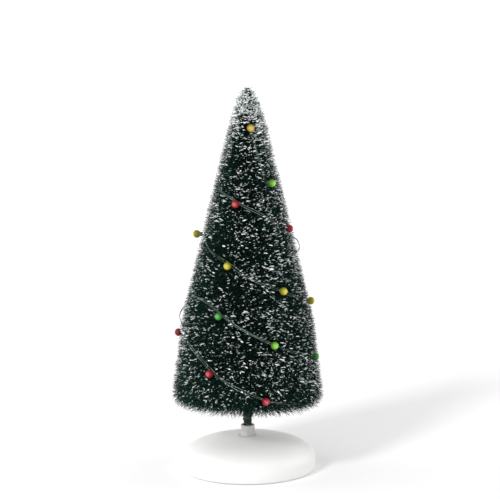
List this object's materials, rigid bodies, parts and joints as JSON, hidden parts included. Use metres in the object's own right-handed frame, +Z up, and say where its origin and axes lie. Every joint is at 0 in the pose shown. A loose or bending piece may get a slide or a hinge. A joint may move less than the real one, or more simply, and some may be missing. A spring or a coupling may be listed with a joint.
{
  "type": "artificial tabletop tree",
  "caption": "Frosted bottle-brush tree with a spiral string of small coloured lamps, on a white snow-mound base with a battery bay and slide switch underneath.",
  "frame": {"origin": "on the ground, under the middle of the tree", "axes": "+Z up the stem; -Y is the front; +X is the tree's right as seen from the front"},
  "size_m": [0.0853, 0.0883, 0.2287],
  "materials": {
    "snow_white_plastic": "glossy moulded white",
    "neck_plastic": "satin grey-white",
    "hot_melt": "cloudy hot-melt",
    "foot_rubber": "matt",
    "zinc_steel": "zinc plated",
    "cell_jacket": "printed jacket",
    "black_plastic": "fine texture",
    "resistor_coat": "lacquered",
    "red_insulation": "smooth",
    "black_insulation": "smooth",
    "green_insulation": "smooth, slightly clear",
    "brush_fibre": "dyed fibre with white flocked tips",
    "painted_stem": "dull green",
    "lamp_amber": "clear tinted",
    "lamp_lime": "clear tinted",
    "lamp_red": "clear tinted",
    "lamp_yellow": "clear tinted",
    "lamp_green": "clear tinted"
  },
  "bodies": {
    "tree": {"base_shell": "snow_white_plastic", "base_plate": "snow_white_plastic", "neck_collar": "neck_plastic", "stem_plug": "hot_melt", "base_screw_1": "zinc_steel", "base_screw_2": "zinc_steel", "base_screw_3": "zinc_steel", "base_screw_4": "zinc_steel", "foot_pad_1": "foot_rubber", "foot_pad_2": "foot_rubber", "foot_pad_3": "foot_rubber", "foot_pad_4": "foot_rubber", "battery_1": "cell_jacket", "battery_2": "cell_jacket", "contact_positive": "zinc_steel", "contact_bridge": "zinc_steel", "spring_negative": "zinc_steel", "spring_bridge": "zinc_steel", "switch_housing": "black_plastic", "switch_terminal_1": "zinc_steel", "switch_terminal_2": "zinc_steel", "resistor": "resistor_coat", "lead_resistor": "red_insulation", "lead_switch": "black_insulation", "stem_wire_1": "painted_stem", "stem_wire_2": "painted_stem", "bristle_brush": "brush_fibre", "string_wire_positive": "green_insulation", "string_wire_negative": "green_insulation", "lamp_01": "lamp_amber", "lamp_02": "lamp_lime", "lamp_03": "lamp_red", "lamp_04": "lamp_red", "lamp_05": "lamp_red", "lamp_06": "lamp_amber", "lamp_07": "lamp_red", "lamp_08": "lamp_yellow", "lamp_09": "lamp_yellow", "lamp_10": "lamp_yellow", "lamp_11": "lamp_yellow", "lamp_12": "lamp_green", "lamp_13": "lamp_yellow", "lamp_14": "lamp_green", "lamp_15": "lamp_lime", "lamp_16": "lamp_green", "lamp_17": "lamp_lime", "lamp_18": "lamp_green", "lamp_19": "lamp_green", "lamp_20": "lamp_red", "lamp_21": "lamp_red", "lamp_22": "lamp_red"},
    "battery_door": {"battery_door": "snow_white_plastic"},
    "switch_knob": {"switch_knob": "black_plastic"}
  },
  "joints": [
    {"name": "battery_door_hinge", "type": "hinge", "parent": "tree", "child": "battery_door", "pos_m": [0, -0.01008, 0.00157], "axis": [-1, 0, 0], "range_deg": [0, 75]},
    {"name": "switch_slide", "type": "slide", "parent": "tree", "child": "switch_knob", "axis": [1, 0, 0], "range_m": [0, 0.003]}
  ]
}
